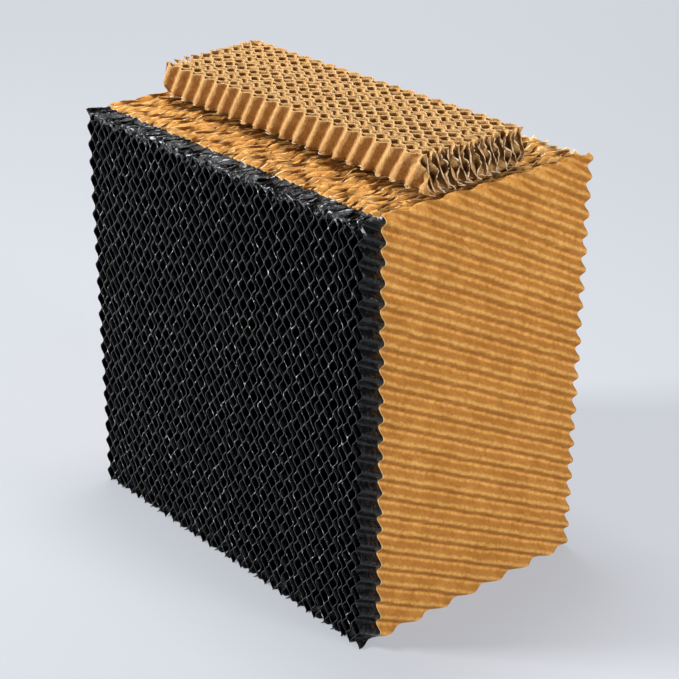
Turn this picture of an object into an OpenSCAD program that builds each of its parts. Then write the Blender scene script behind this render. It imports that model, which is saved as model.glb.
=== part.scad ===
// Evaporative cooling pad with its water distribution pad lying on top.
// The pad is a block of fluted paper sheets that stand side by side and are glued
// crest to crest. The flutes of one sheet fall from the air inlet face to the back,
// those of the next one rise, so the air and the water cross in the block.
// The distribution pad is a low block of the same stock, its sheets turned a quarter
// round and its flutes steep, so that water poured on it spreads as it runs down.
// Millimetres. X runs across the stack of sheets, the inlet face looks to -Y, Z is up.

/* [Fluted paper] */
// height of a flute over both papers, which is the spacing of the sheets
flute_height = 7; // [5:0.25:10]
// crest to crest, measured square to the flutes
flute_pitch = 18; // [15:0.25:24]
// share of the pitch taken by the flat crest of the outer sheets
crest_share = 0.2; // [0.14:0.01:0.28]
// paper with its stiffening resin and coating
paper_thickness = 0.5; // [0.3:0.05:0.8]

/* [Pad] */
// sheets glued side by side
pad_sheets = 65; // [45:2:75]
// length of the air path, front to back
pad_depth = 305; // [240:1:340]
// height as it stands
pad_height = 457; // [360:1:500]
// slope of the flutes from the horizontal
pad_flute_angle = 27; // [20:1:35]

/* [Distribution pad] */
// sheets glued together, front to back
top_sheets = 20; // [12:2:24]
// height of the block
top_height = 38; // [28:1:60]
// left end of the front sheet in from the left side of the pad
top_left_inset = 18; // [8:1:40]
// how much farther to the left the back sheet reaches
top_left_skew = 16; // [0:1:20]
// right foot of the front sheet in from the right side of the pad
top_right_inset = 8; // [0:1:40]
// how much less far to the right the foot of the back sheet reaches
top_right_skew = 12; // [0:1:30]
// how far the right end of the front sheet leans in over the height
top_front_slant = 16; // [0:1:28]
// how far the right end of the back sheet leans in over the height
top_back_slant = 3; // [0:1:18]
// middle of the block behind the middle of the pad
top_set_back = 7; // [-10:1:30]
// lean of the flutes from the vertical
top_flute_lean = 32; // [18:1:38]

/* [Hidden] */
pad_width = pad_sheets * flute_height;
top_length = pad_width - top_left_inset - top_right_inset;
top_depth = top_sheets * flute_height;
// outer sheets: middle of the paper to each side, flat crest, slope of the flanks,
// and how far that slope moves the corners of each skin
outer_swing = (flute_height - paper_thickness) / 2;
crest = crest_share * flute_pitch;
flank_angle = atan2(2 * outer_swing, flute_pitch / 2 - crest);
mitre = paper_thickness / 2 * tan(flank_angle / 2);
// sheets between them: paper measured across the stack, middle of it to each side
fold_angle = atan2(flute_height, flute_pitch / 2);
fold_thickness = paper_thickness / cos(fold_angle);
fold_swing = (flute_height - fold_thickness) / 2;
// spare length of the raw sheet past its trimmed edges
trim = 2;

// The sheets are laid up by hand, so the flutes of each one miss their place a little.
// The answer is in pitches.
function drift(i) = 0.2 * sin(40 * i - 50) + 0.13 * sin(97 * i + 110);

// Corners of one skin of the paper, side 1 or -1, over one wave. A free outer sheet keeps
// its full flat crests, a sheet glued in on both sides is folded to an edge.
function corners(side, outer) = outer ? [
    [outer_swing + side * paper_thickness / 2, -crest / 2 - side * mitre],
    [outer_swing + side * paper_thickness / 2, crest / 2 + side * mitre],
    [-outer_swing + side * paper_thickness / 2, (flute_pitch - crest) / 2 + side * mitre],
    [-outer_swing + side * paper_thickness / 2, (flute_pitch + crest) / 2 - side * mitre]
] : [
    [fold_swing + side * fold_thickness / 2, 0],
    [-fold_swing + side * fold_thickness / 2, flute_pitch / 2]
];

// One skin as points across the flutes, from wave k0 to wave k1.
function skin(side, k0, k1, shift, outer) = [
    for (k = [k0 : k1])
        for (c = corners(side, outer))
            [c[0], (k + shift) * flute_pitch + c[1]]
];

function turned(points) = [for (i = [len(points) - 1 : -1 : 0]) points[i]];

// A fluted sheet in the Y-Z plane, trimmed to the outline. Its flutes fall by the given
// angle along +Y, or rise if it is negative, and are shifted by so many pitches.
module fluted_sheet(outline, fall, shift, outer) {
    across = [for (p = outline) p[0] * sin(fall) + p[1] * cos(fall)];
    along = [for (p = outline) p[1] * sin(fall) - p[0] * cos(fall)];
    k0 = floor(min(across) / flute_pitch - shift) - 1;
    k1 = ceil(max(across) / flute_pitch - shift) + 1;
    start = min(along) - trim;
    run = max(along) - min(along) + 2 * trim;
    intersection() {
        rotate([90 - fall, 0, 0])
            translate([0, 0, start])
            linear_extrude(run)
            polygon(concat(
                skin(1, k0, k1, shift, outer),
                turned(skin(-1, k0, k1, shift, outer))));
        rotate([90, 0, 90])
            linear_extrude(2 * flute_height, center = true)
            polygon(outline);
    }
}

module pad_sheet(i, fall) {
    translate([(i - (pad_sheets - 1) / 2) * flute_height, -pad_depth / 2, 0])
        fluted_sheet(
            [[0, 0], [pad_depth, 0], [pad_depth, pad_height], [0, pad_height]],
            fall, i / 2 + 0.12 + drift(i), i == 0 || i == pad_sheets - 1);
}

// Both ends are askew: towards the back the sheets reach farther left and less far right,
// and the right end leans in, at the front more than at the back.
module top_sheet(i, fall) {
    to_back = i / (top_sheets - 1);
    left = -top_left_skew * to_back;
    foot = top_length - top_right_skew * to_back;
    head = foot - top_front_slant * (1 - to_back) - top_back_slant * to_back;
    translate([
        top_left_inset - pad_width / 2,
        top_set_back + (i - (top_sheets - 1) / 2) * flute_height,
        pad_height])
        rotate([0, 0, -90])
        fluted_sheet(
            [[left, 0], [foot, 0], [head, top_height], [left, top_height]],
            fall, 0.41 + 0.4 * drift(i), i == 0 || i == top_sheets - 1);
}

// Every other sheet of the pad, both outer ones among them: flutes fall to the back.
module falling_sheets() {
    color("#b9812f")
        for (i = [0 : 2 : pad_sheets - 1])
            pad_sheet(i, pad_flute_angle);
}

// The sheets between them: flutes rise to the back.
module rising_sheets() {
    color("#a9722a")
        for (i = [1 : 2 : pad_sheets - 1])
            pad_sheet(i, -pad_flute_angle);
}

// Front sheet of the distribution pad and every other one behind it: flutes lean to
// the right as they go up.
module top_right_sheets() {
    color("#c4a06a")
        for (i = [0 : 2 : top_sheets - 1])
            top_sheet(i, top_flute_lean - 90);
}

// The sheets between them: flutes lean to the left.
module top_left_sheets() {
    color("#b98a55")
        for (i = [1 : 2 : top_sheets - 1])
            top_sheet(i, 90 - top_flute_lean);
}

falling_sheets();
rising_sheets();
top_right_sheets();
top_left_sheets();
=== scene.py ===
import math
import bpy
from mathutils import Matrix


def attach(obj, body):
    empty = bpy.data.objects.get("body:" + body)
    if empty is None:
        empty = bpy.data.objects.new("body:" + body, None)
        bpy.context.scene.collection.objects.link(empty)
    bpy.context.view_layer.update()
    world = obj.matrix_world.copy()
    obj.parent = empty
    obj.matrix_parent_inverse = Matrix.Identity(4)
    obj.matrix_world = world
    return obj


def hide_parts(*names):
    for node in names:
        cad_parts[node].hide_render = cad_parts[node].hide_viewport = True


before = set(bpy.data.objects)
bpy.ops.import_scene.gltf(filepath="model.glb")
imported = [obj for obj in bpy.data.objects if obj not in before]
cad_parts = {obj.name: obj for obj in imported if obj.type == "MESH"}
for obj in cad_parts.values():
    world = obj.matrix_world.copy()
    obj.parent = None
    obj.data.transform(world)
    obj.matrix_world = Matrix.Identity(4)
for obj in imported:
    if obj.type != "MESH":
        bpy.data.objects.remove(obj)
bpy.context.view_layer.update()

# Inner sheets of the pad whose flutes fall to the back. Each is a sheet of kraft paper, run
# through fluting rollers, stiffened with resin and glued crest to crest to its neighbours.
# The air inlet face is dipped in a black coat that keeps algae off and can be brushed clean.
flute_height = 0.007
flute_pitch = 0.018
paper = 0.0005
pad_sheets = 65
pad_depth = 0.305
pad_height = 0.457
pad_fall = math.radians(27)
pad_outline = [(0, 0), (pad_depth, 0), (pad_depth, pad_height), (0, pad_height)]


def add(tree, kind, inputs=(), out=0, **settings):
    """Adds a node with its settings, links or fills its inputs, and returns one output."""
    made = tree.nodes.new(kind)
    for name, value in settings.items():
        setattr(made, name, value)
    pairs = inputs.items() if isinstance(inputs, dict) else enumerate(inputs)
    for key, value in pairs:
        for one in value if isinstance(value, list) else [value]:
            if isinstance(one, bpy.types.NodeSocket):
                tree.links.new(one, made.inputs[key])
            else:
                made.inputs[key].default_value = one
    return made.outputs[out] if out is not None else made


def linear(text):
    """An sRGB hex colour as linear red, green, blue and a full alpha."""
    parts = [int(text[k:k + 2], 16) / 255 for k in (1, 3, 5)]
    return tuple(c / 12.92 if c <= 0.04045 else ((c + 0.055) / 1.055) ** 2.4 for c in parts) + (1,)


def fluted_sheet_rule():
    """The tree that lays up fluted sheets: a grid of rows across and stations along the flutes
    is set on each sheet's place, waved, trimmed to the outline and given its thickness."""
    t = bpy.data.node_groups.new("fluted_sheets", "GeometryNodeTree")
    t.interface.new_socket("Geometry", in_out="OUTPUT", socket_type="NodeSocketGeometry")
    for name, kind in (
        ("Sheets", "Int"), ("First sheet", "Float"), ("Sheet step", "Float"), ("Middle sheet", "Float"),
        ("Lay-up", "Float"), ("Lay-up step", "Float"), ("Looseness", "Float"), ("Seed", "Float"),
        ("Spacing", "Float"), ("Swing", "Float"), ("Flute pitch", "Float"), ("Crest share", "Float"),
        ("Fold", "Float"), ("Paper", "Float"), ("Fall", "Float"), ("Start step", "Float"),
        ("Depth", "Float"), ("Depth step", "Float"), ("Height", "Float"), ("End slant", "Float"),
        ("Slant step", "Float"), ("First wave", "Float"), ("Waves", "Int"), ("Rows in a wave", "Int"),
        ("Stations", "Int"), ("End reach", "Float"), ("End gather", "Float"), ("One end", "Float"),
        ("Wander", "Float"), ("Ripple", "Float"), ("Ragged edge", "Float"), ("Ragged top", "Float"),
        ("Top bend", "Float"), ("Bend spread", "Float"), ("Bend depth", "Float"), ("Crumple", "Float"),
        ("End crumple", "Float"), ("Place", "Vector"), ("Turn", "Vector"),
        ("Sheet face", "Material"), ("Cut edge", "Material"),
    ):
        t.interface.new_socket(name, in_out="INPUT", socket_type="NodeSocket" + kind)
    given = add(t, "NodeGroupInput", out=None).outputs

    # rows and stations of one flat sheet, kept as numbers, then one sheet for each place
    rows = add(t, "ShaderNodeMath", [given["Waves"], given["Rows in a wave"], 1.0],
               operation="MULTIPLY_ADD")
    grid = add(t, "GeometryNodeMeshGrid", [1.0, 1.0, given["Stations"], rows])
    spot = add(t, "ShaderNodeSeparateXYZ", [add(t, "GeometryNodeInputPosition")], out=None).outputs
    along = add(t, "ShaderNodeMath", [spot[0], 2.0], operation="MULTIPLY")
    across = add(t, "ShaderNodeMath", [spot[1], 0.5], operation="ADD")
    across = add(t, "ShaderNodeMath", [across, given["Waves"]], operation="MULTIPLY")
    grid = add(t, "GeometryNodeStoreNamedAttribute", {0: grid, "Name": "along", "Value": along})
    grid = add(t, "GeometryNodeStoreNamedAttribute", {0: grid, "Name": "wave", "Value": across})
    places = add(t, "GeometryNodeMeshLine", {"Count": given["Sheets"], "Offset": (1, 0, 0)})
    stack = add(t, "GeometryNodeInstanceOnPoints", {"Points": places, "Instance": grid})
    number = add(t, "GeometryNodeInputIndex")
    number = add(t, "ShaderNodeMath", [number, given["Sheet step"], given["First sheet"]],
                 operation="MULTIPLY_ADD")
    stack = add(t, "GeometryNodeStoreNamedAttribute", {0: stack, "Name": "sheet", "Value": number},
                domain="INSTANCE")
    stack = add(t, "GeometryNodeRealizeInstances", [stack])

    # how far the flutes of this sheet are shifted against the first one, as it was laid up
    along = add(t, "GeometryNodeInputNamedAttribute", ["along"])
    wave = add(t, "GeometryNodeInputNamedAttribute", ["wave"])
    sheet = add(t, "GeometryNodeInputNamedAttribute", ["sheet"])
    slow = add(t, "ShaderNodeMath", [sheet, math.radians(40), math.radians(-50)],
               operation="MULTIPLY_ADD")
    slow = add(t, "ShaderNodeMath", [slow], operation="SINE")
    quick = add(t, "ShaderNodeMath", [sheet, math.radians(97), math.radians(110)],
                operation="MULTIPLY_ADD")
    quick = add(t, "ShaderNodeMath", [quick], operation="SINE")
    drift = add(t, "ShaderNodeMath", [slow, 0.2], operation="MULTIPLY")
    drift = add(t, "ShaderNodeMath", [quick, 0.13, drift], operation="MULTIPLY_ADD")
    shift = add(t, "ShaderNodeMath", [sheet, given["Lay-up step"], given["Lay-up"]],
                operation="MULTIPLY_ADD")
    shift = add(t, "ShaderNodeMath", [drift, given["Looseness"], shift], operation="MULTIPLY_ADD")
    shift = add(t, "ShaderNodeMath", [shift], operation="FRACT")

    # where the ends of this sheet are cut, and the outline's corners across the flutes
    sine = add(t, "ShaderNodeMath", [given["Fall"]], operation="SINE")
    cosine = add(t, "ShaderNodeMath", [given["Fall"]], operation="COSINE")
    depth = add(t, "ShaderNodeMath", [sheet, given["Depth step"], given["Depth"]],
                operation="MULTIPLY_ADD")
    slant = add(t, "ShaderNodeMath", [sheet, given["Slant step"], given["End slant"]],
                operation="MULTIPLY_ADD")
    begin = add(t, "ShaderNodeMath", [sheet, given["Start step"]], operation="MULTIPLY")
    rise = add(t, "ShaderNodeMath", [given["Height"], cosine], operation="MULTIPLY")
    near_foot = add(t, "ShaderNodeMath", [begin, sine], operation="MULTIPLY")
    near_head = add(t, "ShaderNodeMath", [near_foot, rise], operation="ADD")
    far_foot = add(t, "ShaderNodeMath", [depth, sine], operation="MULTIPLY")
    far_head = add(t, "ShaderNodeMath", [slant, given["Height"]], operation="MULTIPLY")
    far_head = add(t, "ShaderNodeMath", [depth, far_head], operation="SUBTRACT")
    far_head = add(t, "ShaderNodeMath", [far_head, sine, rise], operation="MULTIPLY_ADD")
    low = high = near_foot
    for corner in (near_head, far_foot, far_head):
        low = add(t, "ShaderNodeMath", [low, corner], operation="MINIMUM")
        high = add(t, "ShaderNodeMath", [high, corner], operation="MAXIMUM")

    # the place across the flutes, kept between those corners, and the wave there
    turn = add(t, "ShaderNodeMath", [wave, given["First wave"]], operation="ADD")
    s = add(t, "ShaderNodeMath", [turn, shift], operation="ADD")
    s = add(t, "ShaderNodeMath", [s, given["Flute pitch"]], operation="MULTIPLY")
    s = add(t, "ShaderNodeMath", [s, low], operation="MAXIMUM")
    s = add(t, "ShaderNodeMath", [s, high], operation="MINIMUM")
    turn = add(t, "ShaderNodeMath", [s, given["Flute pitch"]], operation="DIVIDE")
    turn = add(t, "ShaderNodeMath", [turn, shift], operation="SUBTRACT")
    # a folded wave, 1 on the crest and -1 in the trough, clipped to flat crests with round shoulders
    crest = add(t, "ShaderNodeMath", [turn, 0.5], operation="ADD")
    crest = add(t, "ShaderNodeMath", [crest, 0.5], operation="PINGPONG")
    crest = add(t, "ShaderNodeMath", [crest, 4.0, -1.0], operation="MULTIPLY_ADD")
    slope = add(t, "ShaderNodeMath", [given["Crest share"], -2.0, 1.0], operation="MULTIPLY_ADD")
    crest = add(t, "ShaderNodeMath", [crest, slope], operation="DIVIDE")
    clip = add(t, "ShaderNodeMath", [crest], operation="ABSOLUTE")
    clip = add(t, "ShaderNodeMath", [clip, given["Fold"]], operation="POWER")
    clip = add(t, "ShaderNodeMath", [clip, 1.0], operation="ADD")
    fold = add(t, "ShaderNodeMath", [1.0, given["Fold"]], operation="DIVIDE")
    clip = add(t, "ShaderNodeMath", [clip, fold], operation="POWER")
    crest = add(t, "ShaderNodeMath", [crest, clip], operation="DIVIDE")

    # where that flute enters and leaves the trimmed sheet
    foot = add(t, "ShaderNodeMath", [s, sine], operation="DIVIDE")
    head = add(t, "ShaderNodeMath", [s, rise], operation="SUBTRACT")
    head = add(t, "ShaderNodeMath", [head, sine], operation="DIVIDE")
    far = add(t, "ShaderNodeMath", [s, cosine], operation="DIVIDE")
    far = add(t, "ShaderNodeMath", [far, slant], operation="MULTIPLY")
    far = add(t, "ShaderNodeMath", [depth, far], operation="SUBTRACT")
    lean = add(t, "ShaderNodeMath", [given["Fall"]], operation="TANGENT")
    lean = add(t, "ShaderNodeMath", [lean, slant], operation="MULTIPLY")
    lean = add(t, "ShaderNodeMath", [1.0, lean], operation="SUBTRACT")
    far = add(t, "ShaderNodeMath", [far, lean], operation="DIVIDE")
    start = add(t, "ShaderNodeMath", [foot, head], operation="MINIMUM")
    start = add(t, "ShaderNodeMath", [start, begin], operation="MAXIMUM")
    start = add(t, "ShaderNodeMath", [start, far], operation="MINIMUM")
    end = add(t, "ShaderNodeMath", [foot, head], operation="MAXIMUM")
    end = add(t, "ShaderNodeMath", [end, begin], operation="MAXIMUM")
    end = add(t, "ShaderNodeMath", [end, far], operation="MINIMUM")

    # stations crowd towards both ends of the flute, or the first one, where the sheet is seen
    side = add(t, "ShaderNodeMath", [along], operation="SIGN")
    reach = add(t, "ShaderNodeMath", [along], operation="ABSOLUTE")
    length = add(t, "ShaderNodeMath", [end, start], operation="SUBTRACT")
    left = add(t, "ShaderNodeMath", [1.0, reach], operation="SUBTRACT")
    first = add(t, "ShaderNodeMath", [along, 0.5, 0.5], operation="MULTIPLY_ADD")
    close = add(t, "ShaderNodeMix", {0: given["One end"], 2: left, 3: first})
    run = add(t, "ShaderNodeMath", [given["One end"], 0.5, 0.5], operation="MULTIPLY_ADD")
    run = add(t, "ShaderNodeMath", [run, length], operation="MULTIPLY")
    even = add(t, "ShaderNodeMath", [given["End reach"], run], operation="DIVIDE")
    even = add(t, "ShaderNodeMath", [even, 1.0], operation="MINIMUM")
    crowd = add(t, "ShaderNodeMath", [close, given["End gather"]], operation="POWER")
    close = add(t, "ShaderNodeMix", {0: even, 2: crowd, 3: close})
    both = add(t, "ShaderNodeMath", [1.0, close], operation="SUBTRACT")
    both = add(t, "ShaderNodeMath", [side, both], operation="MULTIPLY")
    both = add(t, "ShaderNodeMath", [both, 0.5, 0.5], operation="MULTIPLY_ADD")
    share = add(t, "ShaderNodeMix", {0: given["One end"], 2: both, 3: close})
    y = add(t, "ShaderNodeMath", [share, length, start], operation="MULTIPLY_ADD")
    rest = add(t, "ShaderNodeMath", [1.0, share], operation="SUBTRACT")
    margin = add(t, "ShaderNodeMath", [share, rest], operation="MINIMUM")
    margin = add(t, "ShaderNodeMath", [margin, length], operation="MULTIPLY")
    margin = add(t, "ShaderNodeMath", [margin, cosine], operation="DIVIDE")
    z = add(t, "ShaderNodeMath", [y, sine], operation="MULTIPLY")
    z = add(t, "ShaderNodeMath", [s, z], operation="SUBTRACT")
    z = add(t, "ShaderNodeMath", [z, cosine], operation="DIVIDE")
    x = add(t, "ShaderNodeMath", [sheet, given["Middle sheet"]], operation="SUBTRACT")
    x = add(t, "ShaderNodeMath", [x, given["Spacing"]], operation="MULTIPLY")
    x = add(t, "ShaderNodeMath", [crest, given["Swing"], x], operation="MULTIPLY_ADD")

    # the rollers and the resin bath leave no flute quite straight, over stretches of about 36 mm, and
    # the paper rippled, about every 13 mm; the saw tears the edges about every 4 mm, on short flutes
    # by no more than 0.4 of their length
    seed = add(t, "ShaderNodeMath", [sheet, 5.17, given["Seed"]], operation="MULTIPLY_ADD")
    flat = add(t, "ShaderNodeCombineXYZ", [0.0, y, z])
    wander = add(t, "ShaderNodeTexNoise",
                 {"Vector": flat, "W": seed, "Scale": 28.0, "Detail": 3.0, "Roughness": 0.7},
                 noise_dimensions="4D")
    wander = add(t, "ShaderNodeMath", [wander, 0.5], operation="SUBTRACT")
    wander = add(t, "ShaderNodeMath", [wander, given["Wander"]], operation="MULTIPLY")
    ripple = add(t, "ShaderNodeTexNoise", {"Vector": flat, "W": seed, "Scale": 75.0, "Detail": 2.0},
                 noise_dimensions="4D")
    ripple = add(t, "ShaderNodeMath", [ripple, 0.5], operation="SUBTRACT")
    x = add(t, "ShaderNodeMath", [ripple, given["Ripple"], x], operation="MULTIPLY_ADD")
    below = add(t, "ShaderNodeMath", [given["Height"], z], operation="SUBTRACT")
    at_top = add(t, "ShaderNodeMath", [below, 0.0001], operation="LESS_THAN")
    torn = add(t, "ShaderNodeMix", {0: at_top, 2: given["Ragged edge"], 3: given["Ragged top"]})
    ragged = add(t, "ShaderNodeTexNoise", {"Vector": flat, "W": seed, "Scale": 260.0, "Detail": 2.0},
                 noise_dimensions="4D")
    at_edge = add(t, "ShaderNodeMath", [reach, 1.0, 0.001], operation="COMPARE")
    ragged = add(t, "ShaderNodeMath", [ragged, at_edge], operation="MULTIPLY")
    ragged = add(t, "ShaderNodeMath", [ragged, torn], operation="MULTIPLY")
    most = add(t, "ShaderNodeMath", [length, 0.4], operation="MULTIPLY")
    ragged = add(t, "ShaderNodeMath", [ragged, most], operation="MINIMUM")
    ragged = add(t, "ShaderNodeMath", [ragged, side], operation="MULTIPLY")
    back = add(t, "ShaderNodeMath", [ragged, cosine], operation="MULTIPLY")
    y = add(t, "ShaderNodeMath", [y, back], operation="SUBTRACT")
    z = add(t, "ShaderNodeMath", [ragged, sine, z], operation="MULTIPLY_ADD")
    # handling has bent the upper edges over, to the left if negative, each stretch of about 15 mm
    # round an arc of its own
    ridge = add(t, "ShaderNodeCombineXYZ", [0.0, y, 0.0])
    bend = add(t, "ShaderNodeTexNoise", {"Vector": ridge, "W": seed, "Scale": 65.0, "Detail": 2.0},
               noise_dimensions="4D")
    bend = add(t, "ShaderNodeMath", [bend, 0.5], operation="SUBTRACT")
    bend = add(t, "ShaderNodeMath", [bend, given["Bend spread"], given["Top bend"]],
               operation="MULTIPLY_ADD")
    above = add(t, "ShaderNodeMath", [given["Height"], z], operation="SUBTRACT")
    above = add(t, "ShaderNodeMath", [given["Bend depth"], above], operation="SUBTRACT")
    above = add(t, "ShaderNodeMath", [above, 0.0], operation="MAXIMUM")
    above_share = add(t, "ShaderNodeMath", [above, given["Bend depth"]], operation="DIVIDE")
    angle = add(t, "ShaderNodeMath", [above_share, bend], operation="MULTIPLY")
    radius = add(t, "ShaderNodeMath", [given["Bend depth"], bend], operation="DIVIDE")
    over = add(t, "ShaderNodeMath", [angle], operation="COSINE")
    over = add(t, "ShaderNodeMath", [1.0, over], operation="SUBTRACT")
    x = add(t, "ShaderNodeMath", [over, radius, x], operation="MULTIPLY_ADD")
    up = add(t, "ShaderNodeMath", [angle], operation="SINE")
    up = add(t, "ShaderNodeMath", [up, radius], operation="MULTIPLY")
    up = add(t, "ShaderNodeMath", [up, above], operation="SUBTRACT")
    z = add(t, "ShaderNodeMath", [z, up], operation="ADD")
    # it has crumpled them too, in folds of about 7 mm
    crumple = add(t, "ShaderNodeTexNoise", {"Vector": flat, "W": seed, "Scale": 150.0, "Detail": 1.0},
                  noise_dimensions="4D")
    crumple = add(t, "ShaderNodeMath", [crumple, 0.5], operation="SUBTRACT")
    # and has crushed the last 25 mm before the far end
    tail = add(t, "ShaderNodeMath", [far, y], operation="SUBTRACT")
    tail = add(t, "ShaderNodeMapRange",
               {"Value": tail, "From Min": 0.0, "From Max": 0.025, "To Min": 1.0, "To Max": 0.0})
    tail = add(t, "ShaderNodeMath", [tail, given["End crumple"]], operation="MULTIPLY")
    x = add(t, "ShaderNodeMath", [tail, crumple, x], operation="MULTIPLY_ADD")
    crumple = add(t, "ShaderNodeMath", [crumple, given["Crumple"]], operation="MULTIPLY")
    crumple = add(t, "ShaderNodeMath", [crumple, above_share], operation="MULTIPLY")
    x = add(t, "ShaderNodeMath", [x, crumple], operation="ADD")
    z = add(t, "ShaderNodeMath", [z, crumple], operation="ADD")
    y = add(t, "ShaderNodeMath", [wander, sine, y], operation="MULTIPLY_ADD")
    z = add(t, "ShaderNodeMath", [wander, cosine, z], operation="MULTIPLY_ADD")

    # the waved sheets, with the rows past their corners welded, then the thickness of the paper with
    # its cut edge
    weld = 0.0000005
    stack = add(t, "GeometryNodeStoreNamedAttribute", {0: stack, "Name": "crest", "Value": crest})
    stack = add(t, "GeometryNodeStoreNamedAttribute", {0: stack, "Name": "margin", "Value": margin})
    waved = add(t, "ShaderNodeCombineXYZ", [x, y, z])
    stack = add(t, "GeometryNodeSetPosition", {0: stack, "Position": waved})
    stack = add(t, "GeometryNodeMergeByDistance", {0: stack, "Distance": weld})
    half = add(t, "ShaderNodeMath", [given["Paper"], -0.5], operation="MULTIPLY")
    normal = add(t, "GeometryNodeInputNormal")
    half = add(t, "ShaderNodeVectorMath", {0: normal, "Scale": half}, operation="SCALE")
    stack = add(t, "GeometryNodeSetPosition", {0: stack, "Offset": half})
    raised = add(t, "GeometryNodeExtrudeMesh",
                 {0: stack, "Offset Scale": given["Paper"], "Individual": False}, out=None).outputs
    under = add(t, "GeometryNodeFlipFaces", [stack])
    stack = add(t, "GeometryNodeJoinGeometry", {0: [raised[0], under]})
    stack = add(t, "GeometryNodeMergeByDistance", {0: stack, "Distance": weld})
    stack = add(t, "GeometryNodeSetShadeSmooth", {0: stack, "Shade Smooth": True})
    stack = add(t, "GeometryNodeSetShadeSmooth",
                {0: stack, "Selection": raised["Side"], "Shade Smooth": False})
    spot = add(t, "ShaderNodeSeparateXYZ", [add(t, "GeometryNodeInputPosition")], out=None).outputs
    flush = add(t, "ShaderNodeMath", [spot[2], 0.0], operation="MAXIMUM")
    flush = add(t, "ShaderNodeCombineXYZ", [spot[0], spot[1], flush])
    stack = add(t, "GeometryNodeSetPosition", {0: stack, "Position": flush})
    stack = add(t, "GeometryNodeTransform",
                {0: stack, "Translation": given["Place"], "Rotation": given["Turn"]})
    stack = add(t, "GeometryNodeRealizeInstances", [stack])
    stack = add(t, "GeometryNodeSetMaterial", {0: stack, "Material": given["Sheet face"]})
    stack = add(t, "GeometryNodeSetMaterial",
                {0: stack, "Selection": raised["Side"], "Material": given["Cut edge"]})
    add(t, "NodeGroupOutput", [stack], out=None)
    return t


fluted_sheets = fluted_sheet_rule()


def laid_up(name, outline, fall, **sizes):
    """A plain mesh of the sheets that the rule lays up with these sizes."""
    across = [y * math.sin(fall) + z * math.cos(fall) for y, z in outline]
    slack = 0.016  # some sheets of the top block are that much longer than the outline
    first = math.floor((min(across) - slack) / flute_pitch) - 1
    last = math.ceil((max(across) + slack) / flute_pitch)
    sizes |= {
        "Fall": fall, "Depth": outline[1][0], "Height": outline[2][1],
        "End slant": (outline[1][0] - outline[2][0]) / outline[2][1],
        "First wave": first + 0.5 / sizes["Rows in a wave"], "Waves": last - first,
        "Flute pitch": flute_pitch,
    }
    piece = bpy.data.objects.new(name, bpy.data.meshes.new(name))
    bpy.context.scene.collection.objects.link(piece)
    rule = piece.modifiers.new("lay_up", "NODES")
    rule.node_group = fluted_sheets
    for socket in fluted_sheets.interface.items_tree:
        if socket.in_out == "INPUT":
            value = sizes[socket.name]
            rule[socket.identifier] = float(value) if socket.socket_type == "NodeSocketFloat" else value
    view = bpy.context.evaluated_depsgraph_get()
    mesh = bpy.data.meshes.new_from_object(
        piece.evaluated_get(view), preserve_all_data_layers=True, depsgraph=view)
    piece.modifiers.remove(rule)
    piece.data = mesh
    mesh.name = name
    mesh.materials.pop(index=0)  # the empty slot of the bare grid
    return piece


def bare_material(name):
    """A new material with an empty tree."""
    made = bpy.data.materials.new(name)
    made.use_nodes = True
    made.node_tree.nodes.clear()
    return made


def noise(tree, where, size, detail, roughness=0.5):
    """Noise in spots of about this size in metres."""
    return add(tree, "ShaderNodeTexNoise",
               {"Vector": where, "Scale": 1 / size, "Detail": detail, "Roughness": roughness})


def ranged(tree, value, low, high, start, end):
    """A value from low to high turned into one from start to end, and held there outside it."""
    return add(tree, "ShaderNodeMapRange",
               {"Value": value, "From Min": low, "From Max": high, "To Min": start, "To Max": end})


def mixed(tree, share, one, other):
    """One colour with a share of another laid over it."""
    return add(tree, "ShaderNodeMix", {0: share, 6: one, 7: other}, out=2, data_type="RGBA")


def ramp(tree, value, first, last, *between):
    """The colour at a value, each stop given as its place and its sRGB hex colour."""
    made = add(tree, "ShaderNodeValToRGB", [value], out=None)
    stops = made.color_ramp.elements
    for k, (position, colour) in enumerate((first, last)):
        stops[k].position = position
        stops[k].color = linear(colour)
    for position, colour in between:
        stops.new(position).color = linear(colour)
    return made.outputs[0]


# Kraft paper cured with resin, black coated at the inlet: matt golden brown with long fibres
# and a mottle where the resin soaked in unevenly, then a glossy black film over the edge.
coat_depth = 0.028
middle_sheet = (pad_sheets - 1) / 2
kraft = bare_material("resin_cured_kraft_black_coated")
t = kraft.node_tree
where = add(t, "ShaderNodeTexCoord", out="Object")
place = add(t, "ShaderNodeSeparateXYZ", [where], out=None).outputs
mottle = noise(t, where, 0.024, 3.0, 0.55)
# dents of about 6 mm, which also break up the tones and the end of the coat
dent = noise(t, where, 0.006, 2.0)
# fibres about 0.1 mm thick, drawn 1.4 mm wide so that they show
grain = add(t, "ShaderNodeVectorMath", [where, (1, 1, 0.6)], operation="MULTIPLY")
fibre = noise(t, grain, 0.0014, 2.0, 0.6)
tone = add(t, "ShaderNodeMath", [fibre, 0.35, 0.15], operation="MULTIPLY_ADD")
tone = add(t, "ShaderNodeMath", [mottle, 0.35, tone], operation="MULTIPLY_ADD")
sheet = add(t, "ShaderNodeAttribute", out="Fac", attribute_name="sheet")
batch = add(t, "ShaderNodeTexWhiteNoise", {"W": sheet}, noise_dimensions="1D")
batch = add(t, "ShaderNodeMath", [batch, 0.5], operation="SUBTRACT")
tone = add(t, "ShaderNodeMath", [batch, 0.12, tone], operation="MULTIPLY_ADD")
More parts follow.
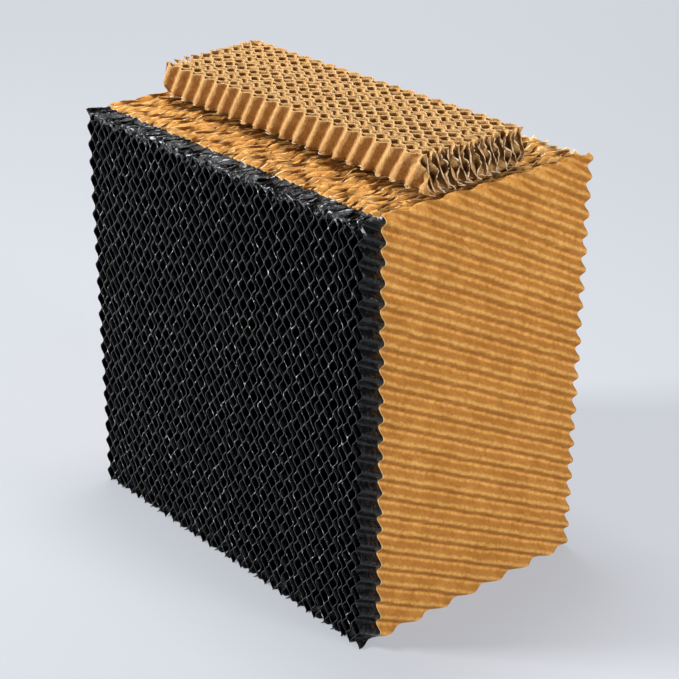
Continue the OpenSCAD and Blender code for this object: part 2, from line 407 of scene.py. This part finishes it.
# the flanks of the flutes are painted darker, as painted shade, and the crests and troughs lighter, as
# painted highlights
flank_shade_and_highlight = add(t, "ShaderNodeAttribute", out="Fac", attribute_name="crest")
flank_shade_and_highlight = add(t, "ShaderNodeMath", [flank_shade_and_highlight], operation="ABSOLUTE")
flank_shade_and_highlight = add(t, "ShaderNodeMath", [dent, 0.8, flank_shade_and_highlight], operation="MULTIPLY_ADD")
flank_shade_and_highlight = ranged(t, flank_shade_and_highlight, 1.0, 1.35, -0.08, 0.1)
tone = add(t, "ShaderNodeMath", [tone, flank_shade_and_highlight], operation="ADD")
brown = ramp(t, tone, (0.32, "#a66f2c"), (0.68, "#dba65e"), (0.5, "#c48c44"))
edge = add(t, "ShaderNodeMath", [dent, 0.002, -pad_depth / 2 + coat_depth - 0.001],
           operation="MULTIPLY_ADD")
depth = add(t, "ShaderNodeMath", [place["Y"], edge], operation="SUBTRACT")
coated = ranged(t, depth, -0.0003, 0.0003, 1.0, 0.0)
# the coat was drawn out along the flutes: streaks of about 1 mm by 20 mm
pulled = add(t, "ShaderNodeMapping",
             {"Vector": where, "Rotation": (-pad_fall, 0, 0), "Scale": (0.0011, 0.02, 0.0011)},
             vector_type="TEXTURE")
streak = noise(t, pulled, 1.0, 2.0)
black = ramp(t, streak, (0.4, "#020203"), (0.75, "#0c0d0f"))
# all but the two outer sheets are painted darker away from their cuts: painted shade deep between the
# sheets, where little light gets in
inner = add(t, "ShaderNodeMath", [sheet, middle_sheet, middle_sheet - 0.5], operation="COMPARE")
margin = add(t, "ShaderNodeAttribute", out="Fac", attribute_name="margin")
painted_depth_shade = ranged(t, margin, 0.012, 0.022, 0.0, 0.7)
painted_depth_shade = add(t, "ShaderNodeMath", [painted_depth_shade, inner], operation="MULTIPLY")
brown = mixed(t, painted_depth_shade, brown, linear("#6b431a"))
# along the cuts these sheets are torn to pale fibre for about 2 mm, and right at the cut the coat is
# painted grey, a painted sheen of light along the edge
margin = add(t, "ShaderNodeMath", [fibre, -0.004, margin], operation="MULTIPLY_ADD")
torn = ranged(t, margin, -0.002, 0.003, 0.95, 0.0)
torn = add(t, "ShaderNodeMath", [torn, inner], operation="MULTIPLY")
brown = mixed(t, torn, brown, linear("#f7dfb2"))
edge_sheen = ranged(t, margin, -0.0024, -0.0019, 0.25, 0.0)
black = mixed(t, edge_sheen, black, linear("#8f9193"))
# on the bent tips at the top the black coat is painted with pale streaks: painted glints of light on
# the glossy film
crown = ranged(t, place["Z"], pad_height - 0.016, pad_height - 0.006, 0.0, 1.0)
tip = ranged(t, margin, 0.001, 0.004, 1.0, 0.0)
tip_glint = ranged(t, dent, 0.56, 0.61, 0.0, 0.8)
tip_glint = add(t, "ShaderNodeMath", [tip_glint, crown], operation="MULTIPLY")
tip_glint = add(t, "ShaderNodeMath", [tip_glint, tip], operation="MULTIPLY")
black = mixed(t, tip_glint, black, linear("#c3ccd4"))
# the thinner of the coat has bleached a fine line along its end
bleach = ranged(t, depth, 0.0003, 0.0014, 0.7, 0.0)
brown = mixed(t, bleach, brown, linear("#f0d29c"))
colour = mixed(t, coated, brown, black)
rough = add(t, "ShaderNodeMix", {0: coated, 2: 0.75, 3: 0.1})
gloss = add(t, "ShaderNodeMix", {0: coated, 2: 0.2, 3: 0.31})
# the paper buckled into those dents as it dried, and the coat lies on it in hard wrinkles
buckle = add(t, "ShaderNodeMath", [fibre, 0.3, dent], operation="MULTIPLY_ADD")
wrinkle = add(t, "ShaderNodeMath", [dent, 2.2, streak], operation="MULTIPLY_ADD")
wrinkle = add(t, "ShaderNodeMath", [wrinkle, 0.4], operation="MULTIPLY")
relief = add(t, "ShaderNodeMix", {0: coated, 2: buckle, 3: wrinkle})
bump = add(t, "ShaderNodeBump", {"Strength": 0.6, "Distance": 0.0035, "Height": relief})
skin = add(t, "ShaderNodeBsdfPrincipled",
           {"Base Color": colour, "Roughness": rough, "Normal": bump, "Specular IOR Level": gloss})
add(t, "ShaderNodeOutputMaterial", [skin], out=None)

# The same paper where the saw cut it: pale raw fibre, and on the black coat grey with white flecks, a
# painted sheen and painted glints of light.
raw_edge = bare_material("sawn_kraft_edge")
t = raw_edge.node_tree
where = add(t, "ShaderNodeTexCoord", out="Object")
place = add(t, "ShaderNodeSeparateXYZ", [where], out=None).outputs
edge_noise = noise(t, where, 0.005, 4.0, 0.7)
pale = ramp(t, edge_noise, (0.35, "#a8763c"), (0.65, "#e8c98f"))
# the coated cut edges are painted grey with white flecks: painted sheen and glints of light
black = ramp(t, edge_noise, (0.36, "#08090a"), (0.66, "#f4f6f8"), (0.6, "#4a4c4f"))
depth = add(t, "ShaderNodeMath", [place["Y"], pad_depth / 2 - coat_depth], operation="ADD")
coated = ranged(t, depth, -0.0008, 0.0008, 1.0, 0.0)
colour = mixed(t, coated, pale, black)
rough = add(t, "ShaderNodeMix", {0: coated, 2: 0.8, 3: 0.32})
skin = add(t, "ShaderNodeBsdfPrincipled", {"Base Color": colour, "Roughness": rough})
add(t, "ShaderNodeOutputMaterial", [skin], out=None)

# lengths in metres, bends in radians, the lay-up in pitches
inner_sheet = {
    "Sheet step": 2, "Middle sheet": middle_sheet, "Spacing": flute_height, "Paper": paper,
    "Lay-up": 0.12, "Lay-up step": 0.5, "Looseness": 1, "Seed": 0,
    "Swing": (flute_height - paper) / 2, "Crest share": 0.19, "Fold": 9,
    "Rows in a wave": 6, "Stations": 13, "End reach": 0.024, "End gather": 4, "One end": 0,
    "Wander": 0.0034, "Ripple": 0.0016, "Ragged edge": 0.0022, "Ragged top": 0.011,
    "Top bend": -1.4, "Bend spread": 3.2, "Bend depth": 0.011, "Crumple": 0.006, "End crumple": 0,
    "Start step": 0, "Depth step": 0, "Slant step": 0,
    "Place": (0, -pad_depth / 2, 0), "Turn": (0, 0, 0), "Sheet face": kraft, "Cut edge": raw_edge,
}
falling_sheet = inner_sheet | {"Stations": 12, "End reach": 0.044, "One end": 1}
for half, first, count in (("left", 2, 15), ("right", 32, 16)):
    falling = laid_up("falling_sheets_" + half, pad_outline, pad_fall,
                      **falling_sheet | {"Sheets": count, "First sheet": first})
    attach(falling, "root")
    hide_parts("falling_sheets")

# Sheets between them, of the same kraft paper from the same rollers, but glued in turned over, so
# that their flutes rise to the back and cross the others.
rising_sheet = inner_sheet | {"Top bend": -1.75, "Bend spread": 2.2}
for half, first in (("left", 1), ("right", 33)):
    rising = laid_up("rising_sheets_" + half, pad_outline, -pad_fall,
                     **rising_sheet | {"Sheets": 16, "First sheet": first})
    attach(rising, "root")
    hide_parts("rising_sheets")

# The two outer sheets of the pad, of the same kraft paper. They are glued on one side only, so their
# fluting shows whole, and they stand a little proud of the stack.
proud = 0.06  # share of the spacing
outer_sheet = inner_sheet | {
    "Sheets": 1, "Swing": 0.0039, "Crest share": 0.14, "Fold": 4, "Rows in a wave": 14,
    "Stations": 80, "End reach": 0, "End gather": 1.6,
    "Wander": 0.0045, "Ripple": 0.0009, "Ragged edge": 0.002, "Ragged top": 0.01,
    "Top bend": -0.9, "Bend spread": 1.6, "Bend depth": 0.007, "Crumple": 0.004, "Cut edge": kraft,
}
right_sheet = outer_sheet | {"First sheet": pad_sheets - 1, "Middle sheet": middle_sheet - proud}
right_face = laid_up("outer_sheet_right", pad_outline, pad_fall, **right_sheet)
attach(right_face, "root")
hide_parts("falling_sheets")
left_sheet = outer_sheet | {
    "First sheet": 0, "Middle sheet": middle_sheet + proud, "Swing": 0.0034, "Stations": 24,
}
left_face = laid_up("outer_sheet_left", pad_outline, pad_fall, **left_sheet)
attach(left_face, "root")
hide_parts("falling_sheets")

# The water distribution pad lies loose on top: a low block of the same fluted stock without the
# black coat, drier and greyer, its sheets turned a quarter round and its flutes steep. Both ends
# are askew, and the right one leans in, at the front more than at the back.
top_sheets = 20
top_height = 0.038
top_left_inset = 0.018
top_left_skew = 0.016
top_right_inset = 0.008
top_right_skew = 0.012
top_front_slant = 0.016
top_back_slant = 0.003
top_set_back = 0.007
top_lean = math.radians(32)
pad_width = pad_sheets * flute_height
top_length = pad_width - top_left_inset - top_right_inset
top_outline = [(0, 0), (top_length, 0), (top_length - top_front_slant, top_height), (0, top_height)]
to_back = 1 / (top_sheets - 1)
top_middle_sheet = (top_sheets - 1) / 2
dry_kraft = bare_material("resin_cured_kraft_plain")
t = dry_kraft.node_tree
where = add(t, "ShaderNodeTexCoord", out="Object")
place = add(t, "ShaderNodeSeparateXYZ", [where], out=None).outputs
mottle = noise(t, where, 0.012, 3.0, 0.55)
# fibres about 0.1 mm thick, drawn 1.2 mm wide so that they show
grain = add(t, "ShaderNodeVectorMath", [where, (1, 1, 0.25)], operation="MULTIPLY")
fibre = noise(t, grain, 0.0012, 2.0, 0.6)
tone = add(t, "ShaderNodeMath", [fibre, 0.65, 0.03], operation="MULTIPLY_ADD")
tone = add(t, "ShaderNodeMath", [mottle, 0.3, tone], operation="MULTIPLY_ADD")
brown = ramp(t, tone, (0.32, "#9c6d37"), (0.68, "#d3a970"))
# inside the block the paper is painted darker, as painted shade between the sheets, and along the cuts
# it is frayed to pale fibre for about 2 mm
sheet = add(t, "ShaderNodeAttribute", out="Fac", attribute_name="sheet")
inner = add(t, "ShaderNodeMath", [sheet, top_middle_sheet, top_middle_sheet - 0.5],
            operation="COMPARE")
margin = add(t, "ShaderNodeAttribute", out="Fac", attribute_name="margin")
painted_depth_shade = ranged(t, margin, 0.004, 0.012, 0.0, 0.6)
painted_depth_shade = add(t, "ShaderNodeMath", [painted_depth_shade, inner], operation="MULTIPLY")
brown = mixed(t, painted_depth_shade, brown, linear("#5f4020"))
margin = add(t, "ShaderNodeMath", [fibre, -0.004, margin], operation="MULTIPLY_ADD")
frayed = ranged(t, margin, -0.002, 0.0004, 0.7, 0.0)
frayed = add(t, "ShaderNodeMath", [frayed, inner], operation="MULTIPLY")
# on top the frayed fibre is painted browner than at the front and the ends, as painted shade on top
top_shade_from = pad_height + top_height - 0.007
top_shade_to = pad_height + top_height - 0.002
upper = ranged(t, place["Z"], top_shade_from, top_shade_to, 0.0, 1.0)
cream = mixed(t, upper, linear("#f3e6c6"), linear("#a88f62"))
brown = mixed(t, frayed, brown, cream)
dent = noise(t, where, 0.005, 2.0)
relief = add(t, "ShaderNodeMath", [fibre, 0.4, dent], operation="MULTIPLY_ADD")
bump = add(t, "ShaderNodeBump", {"Strength": 0.6, "Distance": 0.0025, "Height": relief})
skin = add(t, "ShaderNodeBsdfPrincipled",
           {"Base Color": brown, "Roughness": 0.8, "Normal": bump, "Specular IOR Level": 0.15})
add(t, "ShaderNodeOutputMaterial", [skin], out=None)
# The same paper where it was cut and has frayed: almost cream, and painted browner on top as painted
# shade.
dry_edge = bare_material("frayed_kraft_edge")
t = dry_edge.node_tree
where = add(t, "ShaderNodeTexCoord", out="Object")
place = add(t, "ShaderNodeSeparateXYZ", [where], out=None).outputs
edge_noise = noise(t, where, 0.004, 3.0, 0.6)
pale = ramp(t, edge_noise, (0.35, "#a27947"), (0.62, "#b7a072"))
# the cut edges are painted paler below the top, and browner on top as painted shade
lower = ranged(t, place["Z"], top_shade_from, top_shade_to, 0.8, 0.0)
colour = mixed(t, lower, pale, linear("#f8eed4"))
skin = add(t, "ShaderNodeBsdfPrincipled", {"Base Color": colour, "Roughness": 0.85})
add(t, "ShaderNodeOutputMaterial", [skin], out=None)
top_sheet = inner_sheet | {
    "Sheets": top_sheets // 2, "Middle sheet": top_middle_sheet, "Spacing": -flute_height,
    "Lay-up": 0.41, "Lay-up step": 0, "Looseness": 0.4, "Seed": 400, "Paper": 0.0008,
    "Crest share": 0.22, "Fold": 6, "Rows in a wave": 10,
    "Stations": 9, "End reach": 0, "End gather": 1.6,
    "Wander": 0.004, "Ripple": 0.0014, "Ragged edge": 0.005, "Ragged top": 0.003,
    "Top bend": 0, "Bend spread": 0.5, "Bend depth": 0.016, "Crumple": 0.001, "End crumple": 0.014,
    "Start step": -top_left_skew * to_back, "Depth step": -top_right_skew * to_back,
    "Slant step": (top_back_slant - top_front_slant) / top_height * to_back,
    "Place": (top_left_inset - pad_width / 2, top_set_back, pad_height), "Turn": (0, 0, -math.pi / 2),
    "Sheet face": dry_kraft, "Cut edge": dry_edge,
}
top_right = laid_up("distribution_sheets_leaning_right", top_outline, top_lean - math.pi / 2,
                    **top_sheet | {"First sheet": 0})
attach(top_right, "root")
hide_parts("top_right_sheets")
top_left = laid_up("distribution_sheets_leaning_left", top_outline, math.pi / 2 - top_lean,
                   **top_sheet | {"First sheet": 1})
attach(top_left, "root")
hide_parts("top_left_sheets")

# The floor: a plain pale sheet of studio paper that runs on to the horizon. It glows a little, so
# that the shadows stay as soft as in the photo.
floor_mesh = bpy.data.meshes.new("floor")
far = 14
floor_corners = [(-far, -far, 0), (far, -far, 0), (far, far, 0), (-far, far, 0)]
floor_mesh.from_pydata(floor_corners, [], [(0, 1, 2, 3)])
floor = bpy.data.objects.new("floor", floor_mesh)
bpy.context.scene.collection.objects.link(floor)
studio_paper = bpy.data.materials.new("studio_paper")
studio_paper.use_nodes = True
skin = studio_paper.node_tree.nodes["Principled BSDF"]
skin.inputs["Base Color"].default_value = linear("#76787c")
skin.inputs["Roughness"].default_value = 0.9
skin.inputs["Emission Color"].default_value = linear("#dde1e9")
skin.inputs["Emission Strength"].default_value = 0.5
floor_mesh.materials.append(studio_paper)

# Soft studio light: a low panel on the right, a higher one front left, a weak one overhead and
# one on the backdrop, each with its watts, its side in metres, its place and the point it faces.
for name, power, size, spot, aim in (
    ("panel_right", 34, 0.6, (2.08, 0.44, 0.82), (0, 0, 0.25)),
    ("panel_front_left", 305, 0.9, (-2.54, -3.03, 2.18), (0, 0, 0.25)),
    ("panel_above", 26, 0.5, (-0.2, 0.1, 1.9), (0, 0, 0.2)),
    ("panel_backdrop", 80, 3.0, (-2.2, 2.6, 2.6), (-2.6, 3.1, 0)),
):
    lamp = bpy.data.lights.new(name, "AREA")
    lamp.energy = power
    lamp.size = size
    panel = bpy.data.objects.new(name, lamp)
    bpy.context.scene.collection.objects.link(panel)
    panel.location = spot
    away = [s - a for s, a in zip(spot, aim)]
    flat = math.hypot(away[0], away[1])
    panel.rotation_euler = (math.atan2(flat, away[2]), 0, math.atan2(away[0], -away[1]))
world = bpy.data.worlds.new("studio")
bpy.context.scene.world = world
world.use_nodes = True
sky = world.node_tree.nodes["Background"]
sky.inputs["Color"].default_value = linear("#e4e8f0")
sky.inputs["Strength"].default_value = 0.22
bpy.context.scene.view_settings.view_transform = "Standard"

# The camera stands to the right of the inlet face and looks down on the pad. Its place and lens
# were fitted to the corners of the pad in the photo.
turned = math.radians(50.0)
raised = math.radians(24.48)
distance = 1.8906
lens = bpy.data.cameras.new("camera")
lens.lens = 91.75
lens.shift_x = 0.01443
lens.shift_y = -0.01443
camera = bpy.data.objects.new("camera", lens)
bpy.context.scene.collection.objects.link(camera)
camera.location = (
    distance * math.sin(turned) * math.cos(raised),
    -distance * math.cos(turned) * math.cos(raised),
    pad_height / 2 + distance * math.sin(raised),
)
camera.rotation_euler = (math.pi / 2 - raised, 0, turned)
bpy.context.scene.camera = camera
